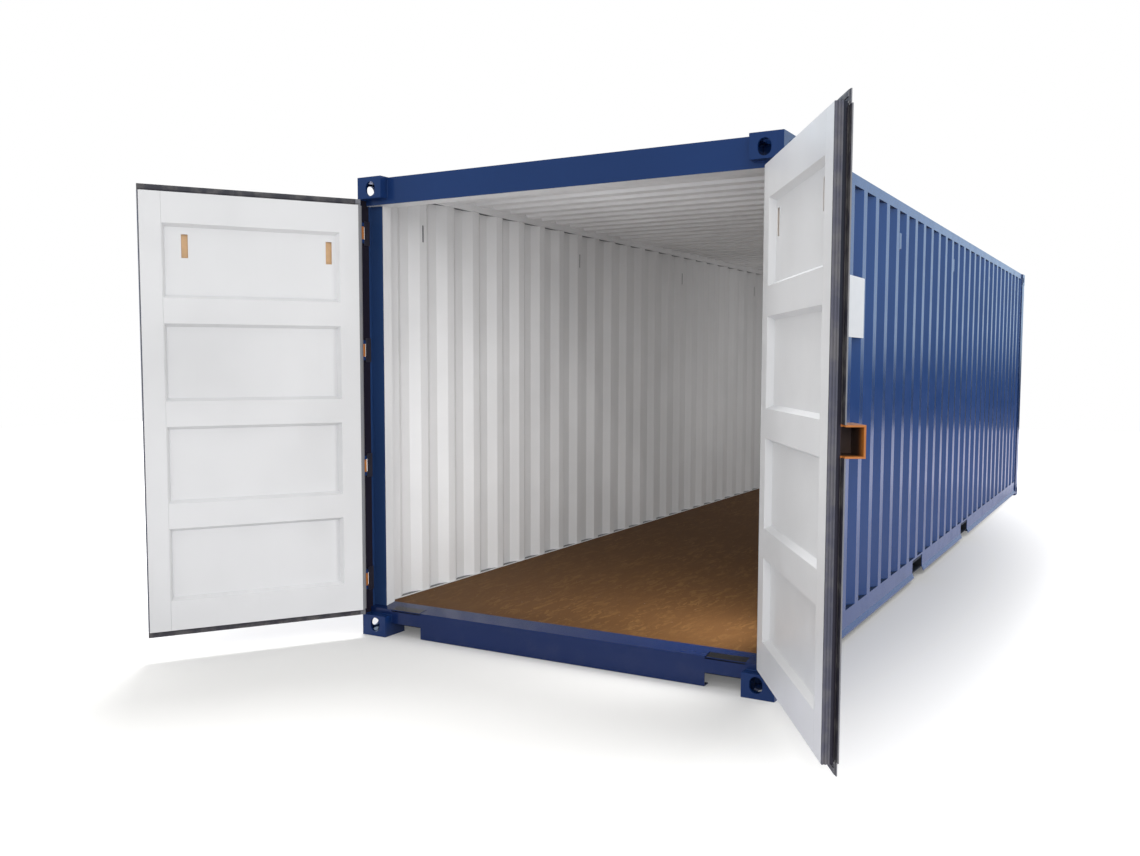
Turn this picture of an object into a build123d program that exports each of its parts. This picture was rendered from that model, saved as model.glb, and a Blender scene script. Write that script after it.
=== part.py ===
from build123d import *
import os
from math import atan2, ceil, degrees, sqrt

# Thirty foot dry freight container, both door leaves standing open.
# Millimetres. +X runs out of the door end, +Y to the right of someone looking in, +Z up.
# The origin is the middle of the base, level with the undersides of the corner castings.

# Overall size
length = 9125
width = 2438
height = 2591

# Corner castings
casting_length = 178
casting_width = 162
casting_height = 118
casting_plate = 28
casting_side = 14
aperture_length = 124
aperture_width = 63.5
aperture_from_end = 103.5
aperture_from_side = 89.5
end_aperture_width = 63.5
end_aperture_height = 79.5
side_aperture_width = 79.5
side_aperture_height = 63.5

# Door end frame
door_recess = 103.5
frame_face_setback = 59.5
post_inner_width = 92
post_wall = 6
post_leg = 12
post_leg_setback = 10
header_height = 146
header_drop = 3
header_wall = 4
sill_bottom = 3
sill_top = 150
sill_wall = 5
sill_notch_length = 205
sill_notch_height = 68
sill_flange = 50
sill_slit = 6
sill_slit_below_top = 5
sill_slit_length = 204
sill_slit_depth = 62

# Blind end frame
end_sill_bottom = 12
end_setback = 3
end_post_width = 75
end_rail_height = 120
end_rail_width = 60
end_rail_wall = 4

# Side rails
top_rail_height = 60
top_rail_width = 60
top_rail_wall = 3
rail_setback = 12
bottom_rail_top = 168
bottom_rail_bottom = 32
bottom_rail_flange = 48
bottom_rail_lip = 12
bottom_rail_lip_edge = 8
bottom_rail_wall = 4.5
lip_height = 36

# Pressed sheets
sheet = 2
wall_depth = 36
wall_outer_flat = 79
wall_inner_flat = 68.8
wall_flank = 68
wall_first_inset = 113.5
end_wall_depth = 45
end_wall_outer_flat = 110
end_wall_inner_flat = 104
end_wall_flank = 18
roof_depth = 20
roof_outer_flat = 91
roof_inner_flat = 91
roof_flank = 14

# Floor and underframe
floor_thickness = 28
floor_top = 167
floor_gap = 4
member_height = 122
member_flange = 45
member_wall = 4
member_pitch = 318
pocket_spacing = 2037
pocket_offset = 256
pocket_width = 340
pocket_bottom = 60
pocket_cut_top = 155
pocket_plate = 6
pocket_strap = 200
pocket_lap = 5

# Vents
vent_height = 128
vent_width = 60
vent_depth = 22
vent_slope = 30
vent_slot_height = 100
vent_slot_width = 14
vent_below_top = 256
vent_first_recess = 1.5
vent_pitches = 7

# Sign board
sign_from_door_end = 288
sign_length = 1250
sign_below_top = 552
sign_height = 337
sign_thickness = 3

# Door leaves
left_open_angle = 122
right_open_angle = 120
leaf_gap = 20
leaf_bottom_gap = 12
leaf_top_gap = 12
leaf_hinge_inset = 46
leaf_depth = 44
leaf_clearance = 6
free_stile_width = 109
hinge_stile_width = 105
leaf_rail_height = 154
leaf_wall = 3.2
seam_bevel = 2
rib_height = 126
middle_fields = 2
middle_field_height = 406
panel_recess = 30
panel_flank = 16

# Slots in the top fields and the pads that carry the bar guides
slot_height = 121
slot_width = 34
slot_below_rail = 115
pad_wall = 3
pad_margin = 12

# Seals
seal_inset = 2
seal_rib = 14
seal_groove = 8
seal_lip = 28
seal_step = 12
lap_foot = 8
lap_thickness = 6
lap_groove = 14
lap_band = 28
lap_reach = 38
lap_hollow = 3
edge_seal_width = 28
edge_rib = 6
right_edge_seal = 6
left_edge_seal = 3
cover_foot = 24
cover_foot_inset = 6
cover_reach = 24
cover_thickness = 5
cover_clearance = 5
cover_end_gap = 14
cover_tip_gap = 1
cover_tip_clearance = 5

# Hinges
hinge_count = 4
hinge_first = 320
hinge_last_below_top = 303
hinge_blade_height = 70
hinge_lug_height = 20
hinge_play = 1
knuckle_radius = 13
knuckle_sides = 16
pin_radius = 8
pin_play = 0.3
pin_setback = 14
lug_root_clearance = 6
blade_thickness = 12
blade_length = 75

# Locking gear
bar_diameter = 27
bar_gap = 1.5
bar_from_free = 226
bar_from_hinge = 161
bar_end_gap = 14
bar_play = 0.3
cam_height = 46
cam_back = 18
cam_reach = 52
cam_half_depth = 14
cam_bevel = 6
cam_jaw_depth = 24
cam_jaw_gap = 10
guide_height = 60
guide_half_width = 44
guide_plate = 4
guide_strap = 3
guide_sides = 16
guide_rail_gap = 30
handle_length = 430
handle_height = 34
handle_thickness = 10
handle_joggle = 8
handle_bend = 30
handle_grip = 60
handle_from_rib = 81
hub_height = 60
hub_wall = 3
retainer_width = 60
retainer_from_end = 95
retainer_plate = 4
retainer_lip = 12
lock_box_height = 114
lock_box_depth = 77
lock_box_length = 160
lock_box_wall = 7
lock_box_middle = 1293

# Places worked out from the sizes above
end_x = length / 2
side_y = width / 2
recess_x = end_x - door_recess
face_x = end_x - frame_face_setback
casting_inner_x = end_x - casting_length
casting_inner_y = side_y - casting_width
pin_x = end_x - pin_setback
pin_y = side_y - pin_setback
rail_y = side_y - rail_setback
leaf_in = recess_x + leaf_clearance
leaf_out = leaf_in + leaf_depth
leaf_free = leaf_gap / 2
leaf_hinge = pin_y - leaf_hinge_inset
bar_x = leaf_out + bar_gap + bar_diameter / 2
panel_back = leaf_in + panel_recess + sheet
floor_bottom = floor_top - floor_thickness
wall_first_flat = end_x - wall_first_inset
wall_pitch = wall_outer_flat + wall_inner_flat + 2 * wall_flank
wall_bottom = bottom_rail_top
wall_top = height - top_rail_height
vent_middle = height - vent_below_top
opening_top = height - header_drop - header_height
post_bottom = casting_height
post_top = height - casting_height
leaf_bottom = sill_top + leaf_bottom_gap
leaf_top = opening_top - leaf_top_gap
hinge_pitch = (height - hinge_last_below_top - hinge_first) / (hinge_count - 1)
hinge_heights = [hinge_first + i * hinge_pitch for i in range(hinge_count)]


def block(x0, x1, y0, y1, z0, z1):
    """A box between two corners."""
    centre = Pos((x0 + x1) / 2, (y0 + y1) / 2, (z0 + z1) / 2)
    return centre * Box(abs(x1 - x0), abs(y1 - y0), abs(z1 - z0))


def prism(plane, points, depth):
    """A closed outline on a plane, drawn out along the plane's normal."""
    return extrude(plane * make_face(Polyline(*points, close=True)), depth)


def upright(points, z0, z1):
    """A plan outline raised from z0 to z1."""
    return prism(Plane.XY.offset(z0), points, z1 - z0)


def across(points, y0, y1):
    """An outline in X and Z drawn out from y0 to y1."""
    plane = Plane(origin=(0, y0, 0), x_dir=(1, 0, 0), z_dir=(0, -1, 0))
    return prism(plane, points, -(y1 - y0))


def along(points, x0, x1):
    """An outline in Y and Z drawn out from x0 to x1."""
    plane = Plane(origin=(x0, 0, 0), x_dir=(0, 1, 0), z_dir=(1, 0, 0))
    return prism(plane, points, x1 - x0)


def mirrored(shape):
    """The same piece on the other side of the container."""
    return mirror(shape, about=Plane.XZ)


def both_sides(shape):
    """The piece and its mirror image."""
    return [shape, mirrored(shape)]


def pressed(low, high, outer, inner, flank, depth, start):
    """Points (along, inwards) of a trapezoidal pressing from high down to low.

    start is the middle of an outer flat at or past the high end.
    """
    pitch = outer + inner + 2 * flank
    steps = ceil((start - low) / pitch) + 1
    corners = []
    for i in range(steps):
        middle = start - i * pitch
        for offset, inwards in ((outer / 2, 0), (-outer / 2, 0),
                                (-outer / 2 - flank, depth), (-outer / 2 - flank - inner, depth)):
            corners.append((middle + offset, inwards))
    kept = [c for c in corners if low < c[0] < high]
    return [(high, depth_at(corners, high))] + kept + [(low, depth_at(corners, low))]


def depth_at(corners, place):
    """How far inwards the pressing lies at a place along it."""
    for (a, da), (b, db) in zip(corners, corners[1:]):
        if b <= place <= a:
            return da + (db - da) * (a - place) / (a - b)
    return 0


def thickened(points, thickness):
    """The closed outline of a sheet whose outer face follows the points."""
    return points + [(a, d + thickness) for a, d in reversed(points)]


# Corner castings


def casting():
    """One casting of the door end's right side, standing at the base."""
    body = block(casting_inner_x, end_x, casting_inner_y, side_y, 0, casting_height)
    cavity = block(casting_inner_x + casting_side, end_x - casting_side,
                   casting_inner_y + casting_side, side_y - casting_side,
                   casting_plate, casting_height - casting_side)
    centre_x = end_x - aperture_from_end
    centre_y = side_y - aperture_from_side
    slot = Plane.XY * Pos(centre_x, centre_y) * SlotOverall(aperture_length, aperture_width)
    bottom = extrude(slot, casting_height / 2)
    middle = (casting_plate + casting_height - casting_side) / 2
    end_plane = Plane(origin=(end_x, centre_y, middle), x_dir=(0, 1, 0), z_dir=(1, 0, 0))
    end_hole = extrude(end_plane * SlotOverall(end_aperture_height, end_aperture_width, rotation=90),
                       -casting_length / 3)
    side_plane = Plane(origin=(centre_x, side_y, middle), x_dir=(-1, 0, 0), z_dir=(0, 1, 0))
    side_hole = extrude(side_plane * SlotOverall(side_aperture_width, side_aperture_height),
                        -casting_width / 3)
    return body - cavity - bottom - end_hole - side_hole


def four_corners(shape):
    """The piece at the right of the door end and at the three other corners."""
    back = mirror(shape, about=Plane.YZ)
    return both_sides(shape) + both_sides(back)


def bottom_castings():
    return four_corners(casting())


def top_castings():
    turned = mirror(casting(), about=Plane.XY)
    return four_corners(Pos(0, 0, height) * turned)


# Door end frame


def hinge_z(i):
    """The bottom and top of a whole hinge."""
    half = hinge_blade_height / 2 + hinge_play + hinge_lug_height
    return hinge_heights[i] - half, hinge_heights[i] + half


def door_post():
    """Right post: a hollow inner section and an outer leg that carries the hinges."""
    inner_face = side_y - post_inner_width
    outer = block(casting_inner_x, recess_x, inner_face, side_y - post_leg, post_bottom, post_top)
    hollow = block(casting_inner_x + post_wall, recess_x - post_wall, inner_face + post_wall,
                   side_y - post_leg - post_wall, post_bottom, post_top)
    leg = block(casting_inner_x, end_x - post_leg_setback, side_y - post_leg, side_y,
                post_bottom, post_top)
    for i in range(hinge_count):
        low, high = hinge_z(i)
        leg -= block(lug_root_x(), end_x, side_y - 2 * post_leg, side_y + 1, low, high)
    return outer - hollow + leg


def lug_root_x():
    """Where the hinge lugs meet the leg, clear of the blade when the door lies open."""
    return pin_x - leaf_hinge_inset - lug_root_clearance


def many_sided(radius, sides, x, y, z0, z1):
    """An upright prism of many sides round a point."""
    return Pos(x, y, z0) * extrude(RegularPolygon(radius, sides, major_radius=False), z1 - z0)


def hinge_lugs():
    """A pair of lugs and the pin between them, for each hinge of the right post."""
    pieces = []
    for i in range(hinge_count):
        low, high = hinge_z(i)
        hinge = Pos(pin_x, pin_y, (low + high) / 2) * Cylinder(pin_radius, high - low)
        for z0 in (low, high - hinge_lug_height):
            z1 = z0 + hinge_lug_height
            hinge += block(lug_root_x(), pin_x, side_y - post_leg, side_y, z0, z1)
            hinge += many_sided(knuckle_radius, knuckle_sides, pin_x, pin_y, z0, z1)
        pieces.append(hinge)
    return pieces


def header():
    """Hollow beam over the door opening, with ends that pass below the castings."""
    low = opening_top
    high = height - header_drop
    inner_face = side_y - post_inner_width
    beam = block(casting_inner_x, face_x, -casting_inner_y, casting_inner_y, low, high)
    hollow = block(casting_inner_x + header_wall, face_x - header_wall,
                   -casting_inner_y, casting_inner_y, low + header_wall, high - header_wall)
    end = block(casting_inner_x, face_x, casting_inner_y, inner_face, low, post_top)
    end -= block(casting_inner_x + header_wall, face_x - header_wall, casting_inner_y, inner_face,
                 low + header_wall, post_top - header_wall)
    end += block(recess_x, face_x, inner_face, side_y - post_leg, low, post_top)
    return [beam - hollow + end + mirrored(end)]


def sill():
    """Folded threshold beam with a sloping top and raised undersides beside the castings."""
    rear = casting_inner_x
    inner_face = side_y - post_inner_width
    profile = [(face_x, sill_bottom), (face_x, sill_top), (rear, floor_top), (rear, floor_top - sill_wall),
               (face_x - sill_wall, sill_top - sill_wall), (face_x - sill_wall, sill_bottom + sill_wall),
               (face_x - sill_flange, sill_bottom + sill_wall), (face_x - sill_flange, sill_bottom)]
    beam = across(profile, -casting_inner_y, casting_inner_y)
    end = across(profile, casting_inner_y, side_y - post_leg)
    end -= block(rear, end_x, casting_inner_y, side_y, 0, casting_height)
    end -= block(rear, recess_x, inner_face, side_y, 0, floor_top)
    notch = block(rear, end_x, casting_inner_y - sill_notch_length, casting_inner_y + 1,
                  0, sill_bottom + sill_notch_height)
    notch += sill_slits()
    return [beam - notch - mirrored(notch) + end + mirrored(end)]


def sill_slits():
    """Narrow slits that part the top plate over a notch from the front and from its neighbour."""
    z1 = sill_top - sill_slit_below_top
    y0 = casting_inner_y - sill_slit_length
    front = block(face_x - 2 * sill_wall, end_x, y0, casting_inner_y, z1 - sill_slit, z1)
    end = block(face_x - sill_slit_depth, end_x, y0, y0 + sill_slit, z1 - sill_slit, floor_top)
    return front + end


def bar_places():
    """Distances of a leaf's two locking bars from the middle of the container."""
    return leaf_free + bar_from_free, leaf_hinge - bar_from_hinge


# Blind end frame


def end_post():
    """Right post of the blind end: a folded channel closed by its inner plate."""
    x0 = -end_x + end_setback
    x1 = -casting_inner_x
    y1 = side_y - end_setback
    y0 = y1 - end_post_width
    outer = block(x0, x1, y0, y1, post_bottom, post_top)
    inner = block(x0 + post_wall, x1 - post_wall, y0 + post_wall, y1 - post_wall, post_bottom, post_top)
    return outer - inner


def hollow_beam(x0, x1, y0, y1, z0, z1, wall, axis):
    """A rectangular tube along X or Y."""
    outer = block(x0, x1, y0, y1, z0, z1)
    if axis == "X":
        inner = block(x0, x1, y0 + wall, y1 - wall, z0 + wall, z1 - wall)
    else:
        inner = block(x0 + wall, x1 - wall, y0, y1, z0 + wall, z1 - wall)
    return outer - inner


def end_rail(z0):
    """Cross beam of the blind end."""
    x0 = -end_x + end_setback
    return hollow_beam(x0, x0 + end_rail_width, -casting_inner_y, casting_inner_y,
                       z0, z0 + end_rail_height, end_rail_wall, "Y")


# Side rails


def top_rail():
    return hollow_beam(-casting_inner_x, casting_inner_x, rail_y - top_rail_width, rail_y,
                       height - top_rail_height, height, top_rail_wall, "X")


def pocket_centres():
    return pocket_offset + pocket_spacing / 2, pocket_offset - pocket_spacing / 2


def bottom_rail():
    """Channel with its web set in and a lip turned out along the bottom."""
    web = rail_y
    out = rail_y + bottom_rail_lip
    wall = bottom_rail_wall
    turn = bottom_rail_bottom + lip_height
    edge = bottom_rail_bottom + bottom_rail_lip_edge
    profile = [(web, bottom_rail_top), (web - bottom_rail_flange, bottom_rail_top),
               (web - bottom_rail_flange, bottom_rail_top - wall), (web - wall, bottom_rail_top - wall),
               (web - wall, turn), (out - wall, edge), (out - wall, bottom_rail_bottom),
               (out, bottom_rail_bottom), (out, edge), (web, turn)]
    rail = along(profile, -casting_inner_x, casting_inner_x)
    for centre in pocket_centres():
        rail -= block(centre - pocket_width / 2, centre + pocket_width / 2, web - bottom_rail_flange,
                      side_y + 1, 0, pocket_cut_top)
    return rail


# Pressed walls and roof


def side_wall():
    """Right wall: upright pressings between the posts, with a slot behind each vent."""
    face = rail_y
    points = pressed(-casting_inner_x, casting_inner_x, wall_outer_flat, wall_inner_flat,
                     wall_flank, wall_depth, wall_first_flat)
    outline = [(a, face - d) for a, d in thickened(points, sheet)]
    wall = upright(outline, wall_bottom, wall_top)
    for x in vent_places():
        wall -= block(x - vent_slot_width / 2, x + vent_slot_width / 2, face - 2 * wall_depth, face,
                      vent_middle - vent_slot_height / 2, vent_middle + vent_slot_height / 2)
    return wall


def vent_places():
    """Vents sit in the hollows of the wall, a whole number of pressings apart."""
    first = wall_first_flat - vent_first_recess * wall_pitch
    spacing = vent_pitches * wall_pitch
    return [first - i * spacing for i in range(int((first + casting_inner_x) // spacing) + 1)]


def end_wall():
    """Blind end: upright pressings between its posts."""
    half = side_y - end_setback - end_post_width
    points = pressed(-half, half, end_wall_outer_flat, end_wall_inner_flat, end_wall_flank,
                     end_wall_depth, half)
    outline = [(-end_x + end_setback + d, a) for a, d in thickened(points, sheet)]
    return [upright(outline, end_sill_bottom + end_rail_height, height - end_rail_height)]


def roof_panel():
    """Roof sheet with pressings from side to side."""
    x1 = casting_inner_x
    x0 = -casting_inner_x
    points = pressed(x0, x1, roof_outer_flat, roof_inner_flat, roof_flank, roof_depth, x1)
    top = height - header_drop
    outline = [(a, top - d) for a, d in thickened(points, sheet)]
    inner = rail_y - top_rail_width
    end_plate = block(-end_x + end_setback + end_rail_width, x0, -casting_inner_y, casting_inner_y,
                      top - sheet, top)
    return [across(outline, -inner, inner), end_plate]


def vents():
    """Narrow covers near the top of the right wall, sloped below to shed rain."""
    face = rail_y - wall_depth
    low = vent_middle - vent_height / 2
    high = vent_middle + vent_height / 2
    profile = [(face, low), (face + vent_depth, low + vent_slope), (face + vent_depth, high), (face, high)]
    return [along(profile, x - vent_width / 2, x + vent_width / 2) for x in vent_places()]


def sign_board():
    """Bare white board on the right wall."""
    x1 = end_x - sign_from_door_end
    z1 = height - sign_below_top
    return [block(x1 - sign_length, x1, rail_y, rail_y + sign_thickness, z1 - sign_height, z1)]


# Floor and underframe


def floor_half_width():
    return rail_y - bottom_rail_flange - floor_gap


def floor_boards():
    """Boards between the side rails, and a narrower one between the blind end posts."""
    half = floor_half_width()
    end_half = side_y - end_setback - end_post_width - floor_gap
    x0 = -end_x + end_setback + end_rail_width
    main = block(-casting_inner_x, casting_inner_x, -half, half, floor_bottom, floor_top)
    end = block(x0, -casting_inner_x, -end_half, end_half, floor_bottom, floor_top)
    return [main + end]


def member_places():
    """Cross member positions clear of the fork pockets and the end beams."""
    x0 = -casting_inner_x + member_flange
    x1 = casting_inner_x - member_flange
    count = int((x1 - x0) // member_pitch)
    step = (x1 - x0) / count
    places = [x0 + i * step for i in range(count + 1)]
    keep = pocket_width / 2 + pocket_plate + member_flange
    return [x for x in places if all(abs(x - c) > keep for c in pocket_centres())]


def cross_members():
    """Pressed channels across the underframe."""
    half = rail_y - bottom_rail_wall
    z0 = floor_bottom - member_height
    z1 = floor_bottom
    pieces = []
    for x in member_places():
        web = x + member_wall / 2
        profile = [(web, z0), (web, z1), (web - member_flange, z1),
                   (web - member_flange, z1 - member_wall), (web - member_wall, z1 - member_wall),
                   (web - member_wall, z0 + member_wall), (web - member_flange, z0 + member_wall),
                   (web - member_flange, z0)]
        pieces.append(across(profile, -half, half))
    return pieces


def fork_pockets():
    """Two tunnels from side to side, with a strap under each mouth and a flange behind the rail."""
    half = rail_y - bottom_rail_wall
    z1 = floor_bottom
    pieces = []
    for c in pocket_centres():
        x0 = c - pocket_width / 2 - pocket_plate
        x1 = c + pocket_width / 2 + pocket_plate
        tunnel = block(x0, x1, -half, half, z1 - pocket_plate, z1)
        for side_x in (x0, x1 - pocket_plate):
            tunnel += block(side_x, side_x + pocket_plate, -half, half, pocket_bottom, z1)
        strap = block(x0, x1, half - pocket_strap, half, pocket_bottom, pocket_bottom + pocket_plate)
        flange = block(x0, x1, half - pocket_plate, half, z1 - pocket_plate, pocket_cut_top + pocket_lap)
        mouth = strap + flange
        pieces.append(tunnel + mouth + mirrored(mouth))
    return pieces


# Door leaves, each drawn shut at the right side of the container


def leaf_frame():
    """Hollow stiles and rails: the stile at the free edge, the one at the hinges, bottom and top."""
    free = hollow_upright(leaf_free, leaf_free + free_stile_width)
    seam = free.edges().filter_by(Axis.Z).group_by(Axis.X)[0].sort_by(Axis.Y)[-1]
    free = chamfer(seam, seam_bevel)
    hinge = hollow_upright(leaf_hinge - hinge_stile_width, leaf_hinge)
    return free, hinge, leaf_rail(leaf_bottom), leaf_rail(leaf_top - leaf_rail_height)


def leaf_rail(z0):
    """Hollow rail between the stiles."""
    y0, y1 = field_sides()
    z1 = z0 + leaf_rail_height
    outer = block(leaf_in, leaf_out, y0, y1, z0, z1)
    inner = block(leaf_in + leaf_wall, leaf_out - leaf_wall, y0, y1, z0 + leaf_wall, z1 - leaf_wall)
    return outer - inner


def field_sides():
    """The edges of the stiles that face each other."""
    return leaf_free + free_stile_width, leaf_hinge - hinge_stile_width


def hollow_upright(y0, y1):
    outer = block(leaf_in, leaf_out, y0, y1, leaf_bottom, leaf_top)
    inner = block(leaf_in + leaf_wall, leaf_out - leaf_wall, y0 + leaf_wall, y1 - leaf_wall,
                  leaf_bottom + leaf_wall, leaf_top - leaf_wall)
    return outer - inner


def field_heights():
    """Bottom and top of each recessed field, from the lowest up. The end fields take what is left."""
    low = leaf_bottom + leaf_rail_height
    high = leaf_top - leaf_rail_height
    spare = high - low - middle_fields * middle_field_height - (middle_fields + 1) * rib_height
    heights = []
    for size in [spare / 2] + [middle_field_height] * middle_fields + [spare / 2]:
        heights.append((low, low + size))
        low += size + rib_height
    return heights


def pan(y0, y1, z0, z1, depth):
    """A tapered recess, wide at the leaf's inner face."""
    plane = Plane(origin=(leaf_in, (y0 + y1) / 2, (z0 + z1) / 2), x_dir=(0, 1, 0), z_dir=(1, 0, 0))
    slope = degrees(atan2(panel_flank, panel_recess))
    return extrude(plane * Rectangle(y1 - y0, z1 - z0), depth, taper=slope)


def leaf_panel():
    """Pressed sheet with four tapered pans, and pads behind it that carry the bar guides."""
    y0, y1 = field_sides()
    fields = field_heights()
    rim = sheet * sqrt(1 + (panel_flank / panel_recess) ** 2)
    skin = block(leaf_in, leaf_in + sheet, y0, y1, fields[0][0], fields[-1][1])
    for z0, z1 in fields:
        skin += pan(y0, y1, z0, z1, panel_recess + sheet)
    for z0, z1 in fields:
        skin -= pan(y0 + rim, y1 - rim, z0 + rim, z1 - rim, panel_recess)
    for y in bar_places():
        for z in pad_heights():
            skin += pad(y, z, 0) - pad(y, z, pad_wall)
        skin -= block(leaf_in, panel_back, y - slot_width / 2, y + slot_width / 2,
                      slot_middle() - slot_height / 2, slot_middle() + slot_height / 2)
    return [skin]


def slot_middle():
    """Height of the slots in the top field."""
    return leaf_top - leaf_rail_height - slot_below_rail


def pad_heights():
    """The slot in the top field and the middle of the second field, where guides stand off the sheet."""
    low, high = field_heights()[1]
    return slot_middle(), (low + high) / 2


def pad(y, z, inset):
    """A block from the back of a pan to the leaf's outer face, smaller all round by the inset."""
    half_y = slot_width / 2 + pad_margin - inset
    half_z = slot_height / 2 + pad_margin - inset
    return block(panel_back, leaf_out, y - half_y, y + half_y, z - half_z, z + half_z)


def lap_strip(edge, way, y0):
    """Seal along the top or the bottom, screwed to the outer face and lapping over the frame."""
    profile = [(0, -lap_foot), (lap_thickness, -lap_foot), (lap_thickness, lap_reach),
               (lap_hollow, lap_reach), (0, lap_band), (0, lap_groove), (lap_hollow, lap_groove),
               (lap_hollow, 0), (0, 0)]
    outline = [(leaf_out + a, edge + way * r) for a, r in profile]
    return across(outline, y0, leaf_hinge + seal_lip)


def hinge_seal():
    """Seal on the hinge edge: a rib, a groove and a lip."""
    x = leaf_in + seal_inset
    edge = leaf_hinge
    outline = [(x, edge), (x, edge + seal_rib), (x + seal_step, edge + seal_rib),
               (x + seal_step, edge + seal_groove), (x + 2 * seal_step, edge + seal_groove),
               (x + 2 * seal_step, edge + seal_lip), (x + 3 * seal_step, edge + seal_lip),
               (x + 3 * seal_step, edge)]
    return upright(outline, leaf_bottom, leaf_top)


def edge_seal(thickness, ribbed):
    """Seal on the free edge, plain on the left leaf and ribbed on the right one."""
    x0 = leaf_in + 1
    strip = block(x0, x0 + edge_seal_width, leaf_free - thickness, leaf_free, leaf_bottom, leaf_top)
    if ribbed:
        gap = (edge_seal_width - 3 * edge_rib) / 2
        for x in (x0 + edge_rib, x0 + 2 * edge_rib + gap):
            strip -= block(x, x + gap, leaf_free - thickness, leaf_free - thickness / 2,
                           leaf_bottom, leaf_top)
    return strip


def cover_strip(low, high, tip):
    """Strip on the right leaf that reaches over the left one, with a lip that runs on to its tip."""
    foot = leaf_free + cover_foot_inset
    x1 = leaf_out + cover_clearance
    x2 = x1 + cover_thickness
    outline = [(leaf_out, foot), (leaf_out, foot + cover_foot), (x2, foot + cover_foot),
               (x2, -cover_reach), (x1, -cover_reach), (x1, foot)]
    z0, z1 = (tip, low) if tip < low else (high, tip)
    lip = block(x1, x2, cover_tip_clearance - leaf_free, leaf_free - cover_tip_gap, z0, z1)
    return upright(outline, low, high) + lip


def seals(side):
    """Every seal of one leaf, as separate strips."""
    strips = [lap_strip(leaf_top, 1, leaf_free), lap_strip(leaf_bottom, -1, leaf_free), hinge_seal()]
    if side > 0:
        strips.append(edge_seal(right_edge_seal, True))
        strips.append(cover_strip(leaf_bottom + cover_end_gap, lock_box_low(), leaf_bottom - lap_reach))
        strips.append(cover_strip(lock_box_low() + lock_box_height, leaf_top - cover_end_gap,
                                  leaf_top + lap_reach))
    else:
        strips.append(edge_seal(left_edge_seal, False))
    return strips


def hinge_blades():
    """Blades with their knuckles, welded to the outer face of the hinge stile."""
    pieces = []
    c = knuckle_radius / sqrt(2)
    u = pin_y - leaf_hinge
    v = pin_x - leaf_out
    plan = [(-c, c), (c, -c), (u + blade_thickness, v - blade_thickness),
            (u + blade_length, v - blade_thickness), (u + blade_length, v), (u, v)]
    outline = [(pin_x - b, pin_y - a) for a, b in plan]
    for z in hinge_heights:
        low = z - hinge_blade_height / 2
        high = low + hinge_blade_height
        blade = upright(outline, low, high)
        blade += many_sided(knuckle_radius, knuckle_sides, pin_x, pin_y, low, high)
        blade -= Pos(pin_x, pin_y, z) * Cylinder(pin_radius + pin_play, hinge_blade_height)
        pieces.append(blade)
    return pieces


def cam(y, z0):
    """A hooked cam: a block round the bar with an open jaw towards the free edge."""
    jaw = cam_jaw_gap / 2
    upper = [(-cam_back, cam_half_depth), (cam_reach - cam_bevel, cam_half_depth),
             (cam_reach, cam_half_depth - cam_bevel), (cam_reach, jaw), (cam_reach - cam_jaw_depth, jaw)]
    lower = [(a, -v) for a, v in reversed(upper)]
    root = (cam_reach - cam_jaw_depth - jaw, 0)
    outline = [(bar_x + v, y - a) for a, v in upper + [root] + lower]
    return upright(outline, z0, z0 + cam_height)


def locking_bars():
    """Two upright bars with a cam at each end."""
    low = leaf_bottom + bar_end_gap
    high = leaf_top - bar_end_gap
    pieces = []
    for y in bar_places():
        bar = Pos(bar_x, y, (low + high) / 2) * Cylinder(bar_diameter / 2, high - low)
        pieces.append(bar + cam(y, low) + cam(y, high - cam_height))
    return pieces


def guide_places():
    """Middle and height of each guide along a bar: on the bottom rail and on the two pads."""
    rail_guide = leaf_bottom + leaf_rail_height - guide_rail_gap
    pad_guides = [(z, slot_height + 2 * pad_margin) for z in pad_heights()]
    return [(rail_guide, guide_height)] + pad_guides


def bar_guides():
    """Flanged saddles that hold the bars against the leaf."""
    bore = bar_diameter / 2 + bar_play
    pieces = []
    for y in bar_places():
        for z, plate_height in guide_places():
            low = z - guide_height / 2
            high = z + guide_height / 2
            plate = block(leaf_out, leaf_out + guide_plate, y - guide_half_width, y + guide_half_width,
                          z - plate_height / 2, z + plate_height / 2)
            cheeks = block(leaf_out, bar_x, y - bore - guide_strap, y + bore + guide_strap, low, high)
            crown = many_sided(bore + guide_strap, guide_sides, bar_x, y, low, high)
            crown -= block(leaf_in, leaf_out, y - guide_half_width, y + guide_half_width, low, high)
            hollow = many_sided(bore, guide_sides, bar_x, y, z - plate_height / 2, z + plate_height / 2)
            pieces.append(plate + cheeks + crown - hollow)
    return pieces


def handle(y, way, z):
    """A flat handle with a hub round its bar, stepped in towards the leaf and out again at the grip."""
    bore = bar_diameter / 2 + bar_play
    hub_half = bore + hub_wall
    middle = z + handle_height / 2
    low = middle - hub_height / 2
    high = middle + hub_height / 2
    hub = block(leaf_out + 1, bar_x + hub_half, y - hub_half, y + hub_half, low, high)
    hub -= many_sided(bore, guide_sides, bar_x, y, low, high)
    step = handle_thickness / 2
    line = [(hub_half, 0), (hub_half + handle_bend, -handle_joggle),
            (handle_length - handle_grip, -handle_joggle),
            (handle_length - handle_grip + handle_bend, step), (handle_length, step)]
    outline = [(bar_x + v, y + way * a) for a, v in thickened([(a, v - step) for a, v in line],
                                                              handle_thickness)]
    return hub + upright(outline, z, z + handle_height)


def handle_places():
    """Each handle's bar, the way it points and its height, below and above the middle rib."""
    free, hinge = bar_places()
    rib_low = field_heights()[1][1]
    rib_high = field_heights()[2][0]
    return (free, 1, rib_low - handle_from_rib - handle_height), (hinge, -1, rib_high + handle_from_rib)


def handles():
    return [handle(y, way, z) for y, way, z in handle_places()]


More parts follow.
